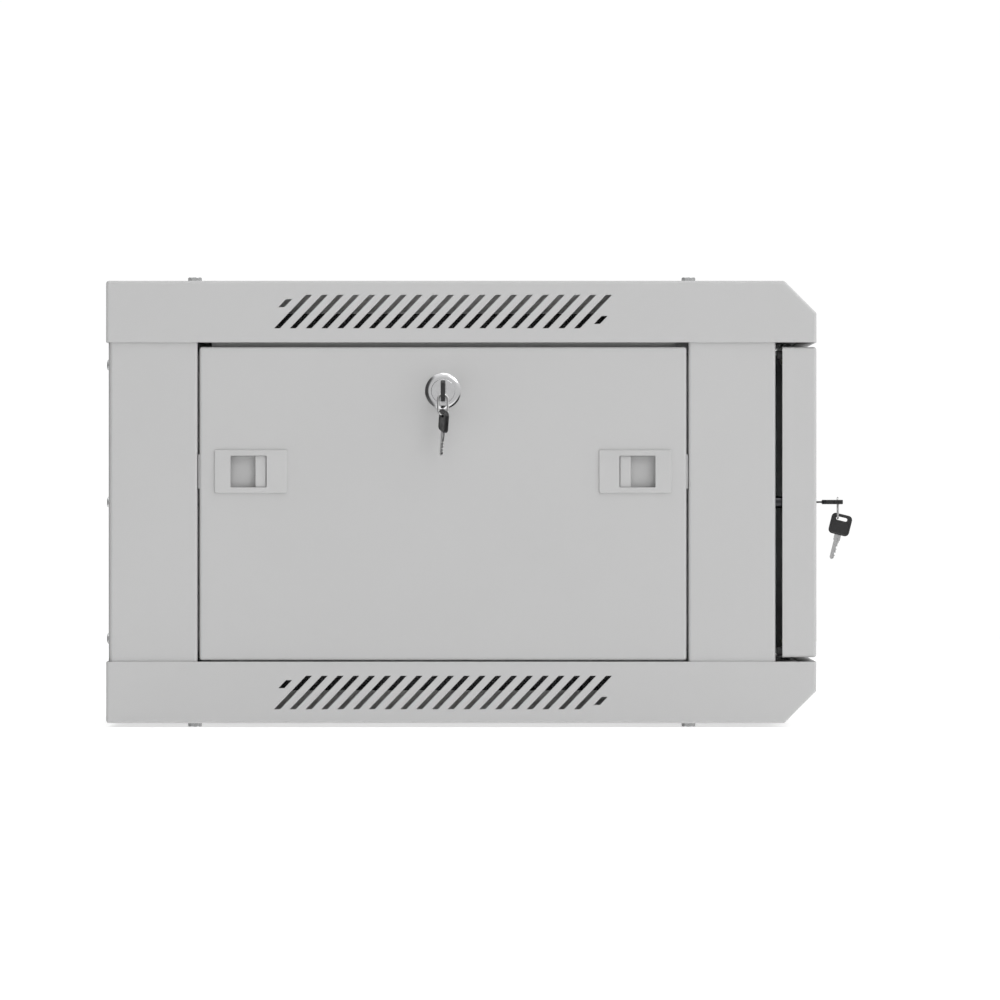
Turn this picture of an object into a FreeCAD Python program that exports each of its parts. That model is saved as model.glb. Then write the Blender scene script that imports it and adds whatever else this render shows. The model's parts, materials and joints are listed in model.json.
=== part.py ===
"""A 6U wall-mount 19 inch network cabinet, in millimetres.

Frame: +X right seen from the front, +Y to the rear, +Z up, origin under the middle of the
whole object. The front door is hinged on the right, and each side has a lift-off panel.
Places along the depth are written as a distance back from the front plane.
"""

import FreeCAD
import Part

import math
import os

from FreeCAD import Placement, Rotation, Vector

# Driving dimensions of the body
WIDTH = 600.0
DEPTH = 594.0
COVER_HEIGHT = 51.5
RACK_UNITS = 6
RACK_UNIT = 44.45
BAY_HEIGHT = RACK_UNITS * RACK_UNIT + 0.3
CHAMFER = 27.0
SHEET = 1.5
THIN_SHEET = 1.2
BEND = 1.0
BOLT_HEAD = 3.3
KEY_OVERHANG = 30.0

# Levels
BASE = BOLT_HEAD
SILL = BASE + COVER_HEIGHT
HEAD = SILL + BAY_HEIGHT
TOP = HEAD + COVER_HEIGHT
MIDDLE = (SILL + HEAD) / 2
FRONT = -(DEPTH - KEY_OVERHANG) / 2

# Corner posts and the side opening between them
POST_X = WIDTH / 2 - SHEET - 0.2
POST_INNER_X = 248.0
FRONT_POST = 34.3
OPENING_START = 107.0
OPENING_END = 517.5
REAR_FACE = 590.8
OPENING_MID = (OPENING_START + OPENING_END) / 2
JAMB = 14.0
LIP = 9.0
POST_RETURN = 22.0

# Side panels
PANEL_SIDE_GAP = 1.7
PANEL_TOP_GAP = 3.9
PANEL_BOTTOM_GAP = 1.2
PANEL_DEPTH = 11.3
LATCH_Z = BASE + 210.5
LATCH_BEZEL = (60.6, 36.0)
LATCH_WINDOW = (30.1, 26.4)
LATCH_WINDOW_SET = 27.6
LATCH_BOLT_HEIGHT = 28.5
LATCH_EDGE = 14.2
LATCH_CAVITY = (1.5, 9.6)
BOLT_GAP = 0.35
BEZEL = 1.5
TAB_FACE = 0.2
TAB_GAP = 0.3
TAB_TRAVEL = 3.2

# Vents
VENT_COUNT = 20
VENT_PITCH = 13.2
VENT_WIDTH = 5.0
VENT_HEIGHT = 28.0
VENT_LEAN = 0.955
SHORT_VENT = 6.7
SHORT_VENT_OFFSET = 7.0
FILTER = 3.0
FILTER_LENGTH = 310.0
FILTER_HEIGHT = 41.0

# Front door
DOOR_DEPTH = 28.4
DOOR_TOP_GAP = 3.9
DOOR_BOTTOM_GAP = 3.6
DOOR_X = POST_X
STILE = 54.0
DOOR_RAIL = 34.0
DOOR_RETURN = 13.0
GLASS = 4.0
GLASS_OVERLAP = 10.0
HINGE_X = 285.0
HINGE_DEPTH = 14.0
HINGE_PIN_R = 3.0
HINGE_CLEARANCE = 0.08

# Cam locks and keys
LOCK_FLANGE_R = 15.0
LOCK_FLANGE = 1.3
LOCK_BARREL_R = 11.0
LOCK_HOLE_R = 11.3
PLUG_FACE_R = 10.0
PLUG_R = 7.0
SIDE_LOCK_Z = BASE + 277.8
DOOR_LOCK_X = -273.0
BOW = 17.6
BOW_START = 6.3
BOW_THICK = 3.7
SLOT_LENGTH = 9.6
SLOT_WIDTH = 2.9
SLOT_FROM_TOP = 4.0
RING_WIRE_R = 0.9
RING_BEND_R = 4.1
RING_HEIGHT = 16.8
SPARE_TILT = 14.0
LINK_YAW = 8.5
SPARE_YAW = 17.0

# Rack rails, braces and bolts
RAIL_GAP = 450.0
RAIL_HOLES = 465.1
RAIL_FLANGE = 30.0
SQUARE = 9.5
UNIT_HOLES = (6.35, 22.225, 38.1)
FRONT_RAIL = 82.0
REAR_RAIL = 505.0
RAIL_SCREW_SET = 18.0
RAIL_SCREWS_DEPTH = (FRONT_RAIL + RAIL_SCREW_SET, REAR_RAIL - RAIL_SCREW_SET)
SMALL_HOLE_R = 2.6
END_PLATE = 2.0
UPPER_BRACE = BASE + 343.0
LOWER_BRACE = BASE + 5.0
BRACE_HEIGHT = 22.0
COVER_BOLTS_DEPTH = (106.6, 520.4)
COVER_BOLT_X = 262.0
COVER_BOLT_R = 3.0
COVER_HOLE_R = 3.3
WALL_HOLE_X = 200.0
WALL_HOLE_R = 4.5
FAN_SPACING = 105.0
FAN_X = 110.0
FAN_DEPTH = 290.0
CABLE_OPENING = (280.0, 80.0)
CABLE_DEPTH = 500.0
REAR_CABLE = (300.0, 60.0)
CABLE_CORNER = 8.0
PLATE_OVERLAP = 9.0
PLATE_CORNER = 6.0
REAR_SCREW_Z = (SILL + 19.2, MIDDLE, HEAD - 18.7)
REAR_SCREW_X = 272.0
EARTH_STUD = (-190.0, 545.0)

X_AXIS = Vector(1, 0, 0)
Y_AXIS = Vector(0, 1, 0)
Z_AXIS = Vector(0, 0, 1)


def box(x0, x1, d0, d1, z0, z1):
    """A block between two widths, two distances back from the front plane and two levels."""
    corner = Vector(x0, FRONT + d0, z0)
    return Part.makeBox(x1 - x0, d1 - d0, z1 - z0, corner)


def disc(radius, height, x, depth, z, axis=Z_AXIS):
    """A cylinder that starts at the given place and runs along the axis."""
    return Part.makeCylinder(radius, height, Vector(x, FRONT + depth, z), axis)


def mirror_x(shape):
    return shape.mirror(Vector(0, 0, 0), X_AXIS)


def both_sides(shapes):
    return Part.makeCompound(shapes + [mirror_x(s) for s in shapes])


def join(first, *others):
    return first.multiFuse(list(others)).removeSplitter()


def round_edges(solid, radius, wanted):
    edges = [edge for edge in solid.Edges if wanted(edge.BoundBox)]
    return solid.makeFillet(radius, edges)


def save(name, shape):
    shape.exportStep(f"parts/{name}.step")


# ---------------------------------------------------------------- folded sheet sections


def offset_corner(before, corner, after, offset):
    """The corner of a path moved sideways, to its left, by the offset."""
    d1 = (corner - before).normalize()
    d2 = (after - corner).normalize()
    n1 = Vector(-d1.y, d1.x, 0)
    n2 = Vector(-d2.y, d2.x, 0)
    return corner + (n1 + n2) * (offset / (1 + n1.dot(n2)))


def side_of_sheet(points, offset, middle_radius):
    """Edges along one side of a folded sheet whose middle line runs through the points."""
    moved = []
    last = len(points) - 1
    for i, point in enumerate(points):
        if 0 < i < last:
            moved.append(offset_corner(points[i - 1], point, points[i + 1], offset))
        else:
            ahead = points[1] - points[0] if i == 0 else points[-1] - points[-2]
            ahead.normalize()
            moved.append(point + Vector(-ahead.y, ahead.x, 0) * offset)
    edges = []
    start = moved[0]
    for i in range(1, last):
        d1 = (moved[i] - moved[i - 1]).normalize()
        d2 = (moved[i + 1] - moved[i]).normalize()
        turn = math.atan2(d1.x * d2.y - d1.y * d2.x, d1.dot(d2))
        radius = middle_radius - offset * math.copysign(1, turn)
        trim = radius * math.tan(abs(turn) / 2)
        arc_start = moved[i] - d1 * trim
        arc_end = moved[i] + d2 * trim
        bisector = (d2 - d1).normalize()
        reach = radius / math.cos(turn / 2) - radius
        edges.append(Part.makeLine(start, arc_start))
        edges.append(Part.Arc(arc_start, moved[i] + bisector * reach, arc_end).toShape())
        start = arc_end
    edges.append(Part.makeLine(start, moved[-1]))
    return edges, moved[0], moved[-1]


def folded_sheet(outline, thickness, z0, z1):
    """A sheet folded along a path of (x, depth) points, standing between two levels."""
    points = [Vector(x, FRONT + depth, 0) for x, depth in outline]
    radius = BEND + thickness / 2
    left, left_start, left_end = side_of_sheet(points, thickness / 2, radius)
    right, right_start, right_end = side_of_sheet(points, -thickness / 2, radius)
    ends = [Part.makeLine(left_end, right_end), Part.makeLine(right_start, left_start)]
    wire = Part.Wire(Part.__sortEdges__(left + right + ends))
    face = Part.Face(wire)
    face.translate(Vector(0, 0, z0))
    return face.extrude(Vector(0, 0, z1 - z0))


# ---------------------------------------------------------------- covers


def cover_block(inset, radius):
    """The outer or inner form of a cover: a tray open at level 0, with a slanted front."""
    leg = CHAMFER - (2 - math.sqrt(2)) * inset
    top = COVER_HEIGHT - inset
    foot = -10.0 if inset else 0.0
    front = inset
    rear = DEPTH - inset
    outline = [(front, foot), (front, top - leg), (front + leg, top), (rear, top), (rear, foot)]
    x = WIDTH / 2 - inset
    points = [Vector(-x, FRONT + depth, z) for depth, z in outline]
    face = Part.Face(Part.makePolygon(points + points[:1]))
    block = face.extrude(Vector(2 * x, 0, 0))
    return round_edges(block, radius, lambda b: b.ZMax > foot + 0.1)


def vent(centre_depth, centre_z, height, lean):
    """A slot through both side walls, whose top is nearer the front for a positive lean."""
    half = height / 2
    shift = half * lean
    corners = [
        (centre_depth - shift - VENT_WIDTH / 2, half),
        (centre_depth - shift + VENT_WIDTH / 2, half),
        (centre_depth + shift + VENT_WIDTH / 2, -half),
        (centre_depth + shift - VENT_WIDTH / 2, -half),
    ]
    points = [Vector(-WIDTH, FRONT + depth, centre_z + z) for depth, z in corners]
    face = Part.Face(Part.makePolygon(points + points[:1]))
    return face.extrude(Vector(2 * WIDTH, 0, 0))


def vent_row(lean):
    """The long slots and the two short ones that close the row."""
    z = COVER_HEIGHT / 2
    end_step = (VENT_COUNT + 1) / 2
    slots = []
    for i in range(VENT_COUNT):
        step = i - (VENT_COUNT - 1) / 2
        slots.append(vent(OPENING_MID + step * VENT_PITCH, z, VENT_HEIGHT, lean))
    for step in (-end_step, end_step):
        rise = math.copysign(SHORT_VENT_OFFSET, step * lean)
        depth = OPENING_MID + step * VENT_PITCH - rise * lean
        slots.append(vent(depth, z + rise, SHORT_VENT, lean))
    return slots


def cover():
    """A cover as the top one stands, with its open side at level 0."""
    tray = cover_block(0.0, BEND + SHEET).cut(cover_block(SHEET, BEND))
    ledge_x = POST_X + 0.2
    ledges = []
    ledge = box(-ledge_x, -ledge_x + JAMB, OPENING_START + 2, OPENING_END - 2, 0, SHEET)
    lip_x = -ledge_x + JAMB
    lip = box(lip_x - SHEET, lip_x, OPENING_START + 12, OPENING_END - 12, -LIP, SHEET)
    ledges += [ledge, lip, mirror_x(ledge), mirror_x(lip)]
    ledges.append(box(-280, 258, SHEET, 13, 0, SHEET))
    return join(tray, *ledges)


def fan_grille(x):
    """Four rings of openings and four fan screw holes."""
    tools = []
    spokes = [box(x - 80, x + 80, FAN_DEPTH - 3, FAN_DEPTH + 3, 0, TOP)]
    spokes.append(box(x - 3, x + 3, FAN_DEPTH - 80, FAN_DEPTH + 80, 0, TOP))
    for inner in (14.0, 25.0, 36.0, 47.0):
        ring = disc(inner + 6, TOP, x, FAN_DEPTH, 0).cut(disc(inner, TOP, x, FAN_DEPTH, 0))
        for spoke in spokes:
            ring = ring.cut(spoke)
        tools.append(ring)
    half = FAN_SPACING / 2
    for sx in (-half, half):
        for sy in (-half, half):
            tools.append(disc(2.25, TOP, x + sx, FAN_DEPTH + sy, 0))
    return tools


def cable_hole():
    wide, deep = CABLE_OPENING
    hole = box(-wide / 2, wide / 2, CABLE_DEPTH - deep / 2, CABLE_DEPTH + deep / 2, -5, TOP)
    return round_edges(hole, CABLE_CORNER, lambda b: b.ZLength > COVER_HEIGHT)


def cover_holes():
    """Holes that both covers share: cover bolts, cable opening and wall holes."""
    tools = [cable_hole()]
    for depth in COVER_BOLTS_DEPTH:
        for x in (-COVER_BOLT_X, COVER_BOLT_X):
            tools.append(disc(COVER_HOLE_R, 20, x, depth, COVER_HEIGHT - 10))
    for x in (-WALL_HOLE_X, WALL_HOLE_X):
        tools.append(disc(WALL_HOLE_R, 20, x, DEPTH - 10, COVER_HEIGHT / 2, Y_AXIS))
    return tools


def make_covers():
    plain = cover().cut(cover_holes())
    top = plain.cut(vent_row(VENT_LEAN) + fan_grille(-FAN_X) + fan_grille(FAN_X))
    top.translate(Vector(0, 0, HEAD))
    save("top_cover", top)
    bottom = plain.cut(vent_row(-VENT_LEAN))
    bottom = bottom.mirror(Vector(0, 0, 0), Z_AXIS)
    bottom.translate(Vector(0, 0, SILL))
    save("bottom_cover", bottom)


def cover_cable_plate(z):
    x = CABLE_OPENING[0] / 2 + PLATE_OVERLAP
    half = CABLE_OPENING[1] / 2 + PLATE_OVERLAP
    plate = box(-x, x, CABLE_DEPTH - half, CABLE_DEPTH + half, z, z + THIN_SHEET)
    return round_edges(plate, PLATE_CORNER, lambda b: b.ZLength > 1 and b.XLength < 1)


def make_cable_plates():
    levels = (TOP - SHEET - THIN_SHEET, BASE + SHEET)
    save("cover_cable_plates", Part.makeCompound([cover_cable_plate(z) for z in levels]))
    x = REAR_CABLE[0] / 2 + PLATE_OVERLAP
    half = REAR_CABLE[1] / 2 + PLATE_OVERLAP
    plate = box(-x, x, REAR_FACE - THIN_SHEET, REAR_FACE, MIDDLE - half, MIDDLE + half)
    plate = round_edges(plate, PLATE_CORNER, lambda b: b.YLength > 1 and b.XLength < 1)
    save("rear_cable_plate", plate)


# ---------------------------------------------------------------- posts, braces, rails


def latch_slot(depth):
    """The opening in a post's jamb that a latch bolt enters."""
    half = LATCH_BOLT_HEIGHT / 2 + 1
    near, far = LATCH_CAVITY
    x = -POST_X
    return box(x + near, x + far + 0.2, depth - 6, depth + 6, LATCH_Z - half, LATCH_Z + half)


def post(face, edge, bolt_depth):
    """A left post: inner return, face, side, and the jamb with the lip a side panel meets.

    Its face is at one depth, and the edge of the side opening at another.
    """
    half = SHEET / 2
    toward = math.copysign(1, edge - face)
    inner = -POST_INNER_X - half
    side = -POST_X + half
    lip_x = -POST_X + JAMB - half
    face_line = face + half * toward
    jamb = edge - half * toward
    outline = [
        (inner, face + POST_RETURN * toward),
        (inner, face_line),
        (side, face_line),
        (side, jamb),
        (lip_x, jamb),
        (lip_x, jamb + LIP * toward),
    ]
    low = BASE + SHEET
    high = TOP - SHEET
    shape = folded_sheet(outline, SHEET, low + END_PLATE, high - END_PLATE)
    near, far = sorted((edge + 0.1 * toward, edge + 20 * toward))
    notches = []
    for z0, z1 in ((low, SILL + LIP), (HEAD - LIP, high)):
        notches.append(box(-POST_X - 1, -POST_X + JAMB + 1, near, far, z0, z1))
    near, far = sorted((face, edge + LIP * toward))
    plates = []
    for z in (low, high - END_PLATE):
        plates.append(box(-POST_X + 1.2, -POST_INNER_X + 4, near, far, z, z + END_PLATE))
    bolt_holes = disc(COVER_HOLE_R, TOP + 10, -COVER_BOLT_X, bolt_depth, 0)
    return join(shape.cut(notches), *plates).cut([latch_slot(edge), bolt_holes])


def door_lock_slot():
    """The opening in the left front post that the door lock's cam passes through."""
    x = DOOR_LOCK_X
    slot = box(x - 9.5, x + 9.5, FRONT_POST - 5, FRONT_POST + 5, MIDDLE - 9.5, MIDDLE + 24)
    return round_edges(slot, 4.0, lambda b: b.YLength > 9)


def make_posts():
    front = post(FRONT_POST, OPENING_START, COVER_BOLTS_DEPTH[0])
    save("post_front_left", front.cut(door_lock_slot()))
    save("post_front_right", mirror_x(front))
    rear = post(REAR_FACE, OPENING_END, COVER_BOLTS_DEPTH[1])
    screws = [disc(SMALL_HOLE_R, 10, -REAR_SCREW_X, REAR_FACE - 5, z, Y_AXIS) for z in REAR_SCREW_Z]
    rear = rear.cut(screws)
    save("post_rear_left", rear)
    save("post_rear_right", mirror_x(rear))


def brace(z):
    """A left channel from the front post to the rear post, with the rail screws' holes."""
    half = SHEET / 2
    x = -POST_INNER_X + half
    d0 = FRONT_POST + SHEET + 1
    d1 = REAR_FACE - SHEET - 1
    web = box(x - half, x + half, d0, d1, z, z + BRACE_HEIGHT)
    start = OPENING_START + 10
    end = OPENING_END - 10
    low = box(x - 12, x + half, start, end, z, z + SHEET)
    high = box(x - 12, x + half, start, end, z + BRACE_HEIGHT - SHEET, z + BRACE_HEIGHT)
    tools = []
    middle = z + BRACE_HEIGHT / 2
    for depth in RAIL_SCREWS_DEPTH:
        tools.append(disc(SMALL_HOLE_R, 20, x - 10, depth, middle, X_AXIS))
    return join(web, low, high).cut(tools)


def make_braces():
    for level, z in (("upper", UPPER_BRACE), ("lower", LOWER_BRACE)):
        left = brace(z)
        save(f"brace_{level}_left", left)
        save(f"brace_{level}_right", mirror_x(left))


def rail(depth, rearward):
    """A left rack rail: a face with square holes and a flange along the brace."""
    half = SHEET / 2
    side = -POST_INNER_X + SHEET + half
    face = depth + half * rearward
    outline = [(-RAIL_GAP / 2, face), (side, face), (side, face + RAIL_FLANGE * rearward)]
    shape = folded_sheet(outline, SHEET, LOWER_BRACE + 1, UPPER_BRACE + BRACE_HEIGHT - 1)
    tools = []
    start = MIDDLE - RACK_UNITS * RACK_UNIT / 2
    x = -RAIL_HOLES / 2
    edge = SQUARE / 2
    for unit in range(RACK_UNITS):
        for rise in UNIT_HOLES:
            z = start + unit * RACK_UNIT + rise
            tools.append(box(x - edge, x + edge, depth - 5, depth + 5, z - edge, z + edge))
    screw_depth = depth + RAIL_SCREW_SET * rearward
    for z in (LOWER_BRACE, UPPER_BRACE):
        middle = z + BRACE_HEIGHT / 2
        tools.append(disc(SMALL_HOLE_R, 20, side - 10, screw_depth, middle, X_AXIS))
    return shape.cut(tools)


def make_vent_filters():
    """Filter strips against the braces' inner faces, across the view through the vents."""
    x = POST_INNER_X - SHEET
    half = FILTER_LENGTH / 2
    ends = (OPENING_MID - half, OPENING_MID + half)
    strips = []
    for z in (SILL - COVER_HEIGHT / 2, HEAD + COVER_HEIGHT / 2):
        strips.append(box(x - FILTER, x, *ends, z - FILTER_HEIGHT / 2, z + FILTER_HEIGHT / 2))
    save("vent_filters", both_sides(strips))


def make_rails():
    for name, depth, rearward in (("front", FRONT_RAIL, 1), ("rear", REAR_RAIL, -1)):
        left = rail(depth, rearward)
        save(f"rail_{name}_left", left)
        save(f"rail_{name}_right", mirror_x(left))


# ---------------------------------------------------------------- rear panel and fasteners


def make_rear_panel():
    panel = box(-290, 290, REAR_FACE, REAR_FACE + THIN_SHEET, SILL - 10, HEAD + 10)
    x = REAR_CABLE[0] / 2
    half = REAR_CABLE[1] / 2
    hole = box(-x, x, REAR_FACE - 1, REAR_FACE + 3, MIDDLE - half, MIDDLE + half)
    hole = round_edges(hole, CABLE_CORNER, lambda b: b.YLength > 3)
    tools = [hole]
    for z in REAR_SCREW_Z:
        for x in (-REAR_SCREW_X, REAR_SCREW_X):
            tools.append(disc(SMALL_HOLE_R, 10, x, REAR_FACE - 4, z, Y_AXIS))
    save("rear_panel", panel.cut(tools))


def pan_screw(shank_r, shank, head_r, head, recess):
    """A pan-head screw along +Z, with the head's seat at level 0."""
    top = Part.makeCylinder(head_r, head)
    top = round_edges(top, head * 0.6, lambda b: b.ZMin > head - 0.01)
    body = Part.makeCylinder(shank_r, shank, Vector(0, 0, -shank))
    cross = []
    depth = head * 0.6
    for wide, deep in ((recess, recess * 0.3), (recess * 0.3, recess)):
        cross.append(Part.makeBox(wide, deep, depth, Vector(-wide / 2, -deep / 2, head - depth)))
    return join(top, body).cut(cross)


def hexagon(across, height):
    """A hexagonal prism along +Z, with two of its corners on the Y axis."""
    radius = across / math.sqrt(3)
    corners = []
    for i in range(6):
        angle = math.radians(30 + 60 * i)
        corners.append(Vector(radius * math.cos(angle), radius * math.sin(angle), 0))
    return Part.Face(Part.makePolygon(corners + corners[:1])).extrude(Vector(0, 0, height))


def hex_nut(across, height, bore):
    return hexagon(across, height).cut(Part.makeCylinder(bore, height))


def hex_bolt(shank_r, shank, across, head):
    """A hexagon-head bolt along +Z, with the head's seat at level 0 and its corners eased."""
    radius = across / math.sqrt(3)
    turned = Part.makeCylinder(radius, head)
    turned = turned.makeChamfer(0.7, [e for e in turned.Edges if e.BoundBox.ZMin > head - 0.01])
    body = Part.makeCylinder(shank_r, shank, Vector(0, 0, -shank))
    return join(hexagon(across, head).common(turned), body)


def placed(shape, x, depth, z, axis):
    """A copy of a shape made along +Z, turned to point along the axis."""
    copy = shape.copy()
    copy.Placement = Placement(Vector(x, FRONT + depth, z), Rotation(Z_AXIS, axis))
    return copy


def make_fasteners():
    bolt = hex_bolt(COVER_BOLT_R, 10.0, 10.0, BOLT_HEAD)
    nut_height = 5.0
    nut = hex_nut(10.0, nut_height, COVER_BOLT_R + 0.05)
    plates = SHEET + END_PLATE
    bolts = []
    nuts = []
    for depth in COVER_BOLTS_DEPTH:
        for x in (-COVER_BOLT_X, COVER_BOLT_X):
            bolts.append(placed(bolt, x, depth, TOP, Z_AXIS))
            bolts.append(placed(bolt, x, depth, BASE, -Z_AXIS))
            nuts.append(placed(nut, x, depth, TOP - plates - nut_height, Z_AXIS))
            nuts.append(placed(nut, x, depth, BASE + plates, Z_AXIS))
    save("cover_bolts", Part.makeCompound(bolts))
    save("cover_bolt_nuts", Part.makeCompound(nuts))
    small = pan_screw(2.5, 8.0, 4.5, 1.7, 3.4)
    screws = []
    for z in REAR_SCREW_Z:
        for x in (-REAR_SCREW_X, REAR_SCREW_X):
            screws.append(placed(small, x, REAR_FACE + THIN_SHEET, z, Y_AXIS))
    save("rear_panel_screws", Part.makeCompound(screws))
    rail_screw = pan_screw(2.5, 8.0, 4.5, 2.2, 3.4)
    screws = []
    x = POST_INNER_X - 2 * SHEET
    for depth in RAIL_SCREWS_DEPTH:
        for z in (LOWER_BRACE, UPPER_BRACE):
            screws.append(placed(rail_screw, x, depth, z + BRACE_HEIGHT / 2, -X_AXIS))
    save("rail_screws", both_sides(screws))
    x, depth = EARTH_STUD
    base = placed(hex_nut(10.0, 4.0, 3.0), x, depth, BASE + SHEET, Z_AXIS)
    stud = disc(3.0, 20.0, x, depth, BASE + SHEET)
    save("earth_stud", join(base, stud))


# ---------------------------------------------------------------- front door

DOOR_BOTTOM = SILL + DOOR_BOTTOM_GAP
DOOR_TOP = HEAD - DOOR_TOP_GAP


def door_shell():
    outer = box(-DOOR_X, DOOR_X, 0, DOOR_DEPTH, DOOR_BOTTOM, DOOR_TOP)
    outer = round_edges(outer, BEND + SHEET, lambda b: b.YMin < FRONT + 0.1)
    low = DOOR_BOTTOM + SHEET
    high = DOOR_TOP - SHEET
    x = DOOR_X - SHEET
    inner = box(-x, x, SHEET, DOOR_DEPTH - SHEET, low, high)
    inner = round_edges(inner, BEND, lambda b: b.YMax < FRONT + DOOR_DEPTH - SHEET - 0.1)
    x = DOOR_X - DOOR_RETURN
    back = box(-x, x, 10, DOOR_DEPTH + 1, low, high)
    return outer.cut([inner, back])


def make_door_frame():
    x = DOOR_X - STILE
    window = box(-x, x, -1, 5, DOOR_BOTTOM + DOOR_RAIL, DOOR_TOP - DOOR_RAIL)
    window = round_edges(window, 4.0, lambda b: b.YLength > 5)
    dish_back = disc(17.0, 2.8, DOOR_LOCK_X, 0.2, MIDDLE, Y_AXIS)
    frame = join(door_shell(), dish_back)
    dish = disc(LOCK_FLANGE_R + 0.5, LOCK_FLANGE, DOOR_LOCK_X, 0, MIDDLE, Y_AXIS)
    lock_hole = disc(LOCK_HOLE_R, 8, DOOR_LOCK_X, -1, MIDDLE, Y_AXIS)
    pin_holes = disc(5.0, HEAD, HINGE_X, HINGE_DEPTH, DOOR_BOTTOM - 5)
    save("door_frame", frame.cut([window, dish, lock_hole, pin_holes]))


def make_door_glass():
    x = DOOR_X - STILE + GLASS_OVERLAP
    z0 = DOOR_BOTTOM + DOOR_RAIL - GLASS_OVERLAP
    z1 = DOOR_TOP - DOOR_RAIL + GLASS_OVERLAP
    front = SHEET + 1
    glass = box(-x, x, front, front + GLASS, z0, z1)
    save("door_glass", round_edges(glass, 3.0, lambda b: b.YLength > 3))
    outer = box(-x - 1.5, x + 1.5, SHEET, front + GLASS + 1, z0 - 1.5, z1 + 1.5)
    window = box(-x + 9, x - 9, 0, 20, z0 + 9, z1 - 9)
    save("glass_gasket", outer.cut([box(-x, x, front, front + GLASS, z0, z1), window]))


def glass_clip(x, z, turn):
    """A folded steel clip over the gasket's edge, turned about the depth axis.

    With no turn its foot stands above the edge and its tongue reaches down over the gasket.
    """
    tongue = GLASS + 2.0
    clip = join(
        Part.makeBox(20, 1.2, 8, Vector(-10, 0, 2.2)),
        Part.makeBox(20, tongue + 1.2, 1.2, Vector(-10, 0, 2.2)),
        Part.makeBox(20, 1.2, 9, Vector(-10, tongue, -5.6)),
        Part.makeCylinder(1.5, 5, Vector(0, 0, 7), Y_AXIS),
    )
    clip.Placement = Placement(Vector(x, FRONT + SHEET, z), Rotation(Y_AXIS, turn))
    return clip


def make_glass_clips():
    x = DOOR_X - STILE + GLASS_OVERLAP
    z0 = DOOR_BOTTOM + DOOR_RAIL - GLASS_OVERLAP
    z1 = DOOR_TOP - DOOR_RAIL + GLASS_OVERLAP
    clips = []
    for edge_x in (-160.0, 0.0, 160.0):
        clips.append(glass_clip(edge_x, z1, 0))
        clips.append(glass_clip(edge_x, z0, 180))
    for edge_z in (MIDDLE - 60, MIDDLE + 60):
        clips.append(glass_clip(x, edge_z, 90))
        clips.append(glass_clip(-x, edge_z, 270))
    save("glass_clips", Part.makeCompound(clips))


def make_door_hardware():
    bumpers = []
    for z in (SILL + 9, HEAD - 10.5):
        bumper = disc(3.5, 5.0 - 0.5, -DOOR_X + 7.5, DOOR_DEPTH, z, Y_AXIS)
        bumpers.append(round_edges(bumper, 0.8, lambda b: b.YMax > FRONT + DOOR_DEPTH + 4))
    save("door_bumpers", Part.makeCompound(bumpers))
    bushes = []
    bore = HINGE_PIN_R + HINGE_CLEARANCE
    for edge, inward in ((DOOR_BOTTOM, 1), (DOOR_TOP, -1)):
        base = edge if inward > 0 else edge - 9
        bush = disc(4.9, 9, HINGE_X, HINGE_DEPTH, base)
        flange = disc(7.0, 1.5, HINGE_X, HINGE_DEPTH, edge + (SHEET if inward > 0 else -SHEET - 1.5))
        bushes.append(join(bush, flange).cut(disc(bore, HEAD, HINGE_X, HINGE_DEPTH, 0)))
    save("hinge_bushes", Part.makeCompound(bushes))
    brackets = []
    pins = []
    for level, up in ((SILL, -1), (HEAD, 1)):
        z = level + 0.5 * up
        plate_z = min(z, z + 2.5 * up)
        plate = box(HINGE_X - 12, HINGE_X + 11, 6, FRONT_POST, plate_z, plate_z + 2.5)
        plate = round_edges(plate, 6.0, lambda b: b.ZLength > 2 and b.YMax < FRONT + 10)
        leg_z = min(z, z + 24 * up)
        leg = box(HINGE_X - 12, HINGE_X + 11, FRONT_POST - 2.5, FRONT_POST, leg_z, leg_z + 24)
        bracket = join(plate, leg)
        brackets.append(bracket.cut(disc(HINGE_PIN_R, HEAD * 2, HINGE_X, HINGE_DEPTH, 0)))
        head = disc(5.0, 2.0, HINGE_X, HINGE_DEPTH, min(z + 2.5 * up, z + 4.5 * up))
        reach = 15.0
        pin = disc(HINGE_PIN_R, reach + 3, HINGE_X, HINGE_DEPTH, min(z + 3 * up, z - reach * up))
        pins.append(join(head, pin))
    save("hinge_brackets", Part.makeCompound(brackets))
    save("hinge_pins", Part.makeCompound(pins))


# ---------------------------------------------------------------- locks and keys
# Each lock is made with its axis along +Z, pointing out of the sheet, whose outer face is
# at level 0. +X is the direction of the key bow's width.


def cylinder(radius, z0, z1):
    return Part.makeCylinder(radius, z1 - z0, Vector(0, 0, z0))


def block(x, y, z0, z1):
    return Part.makeBox(x, y, z1 - z0, Vector(-x / 2, -y / 2, z0))


def lock_flange():
    """A disc whose face falls away in a crown from the flat middle to the rim."""
    crown_r = PLUG_FACE_R + 1.3
    rim = Vector(LOCK_FLANGE_R, 0, 0.3)
    flat = Vector(crown_r, 0, LOCK_FLANGE)
    half_way = (rim + flat) / 2 + Vector(0.15, 0, 0.25)
    edges = [
        Part.makeLine(Vector(0, 0, 0), Vector(LOCK_FLANGE_R, 0, 0)),
        Part.makeLine(Vector(LOCK_FLANGE_R, 0, 0), rim),
        Part.Arc(rim, half_way, flat).toShape(),
        Part.makeLine(flat, Vector(0, 0, LOCK_FLANGE)),
        Part.makeLine(Vector(0, 0, LOCK_FLANGE), Vector(0, 0, 0)),
    ]
    return Part.Face(Part.Wire(edges)).revolve(Vector(0, 0, 0), Z_AXIS, 360)


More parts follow.
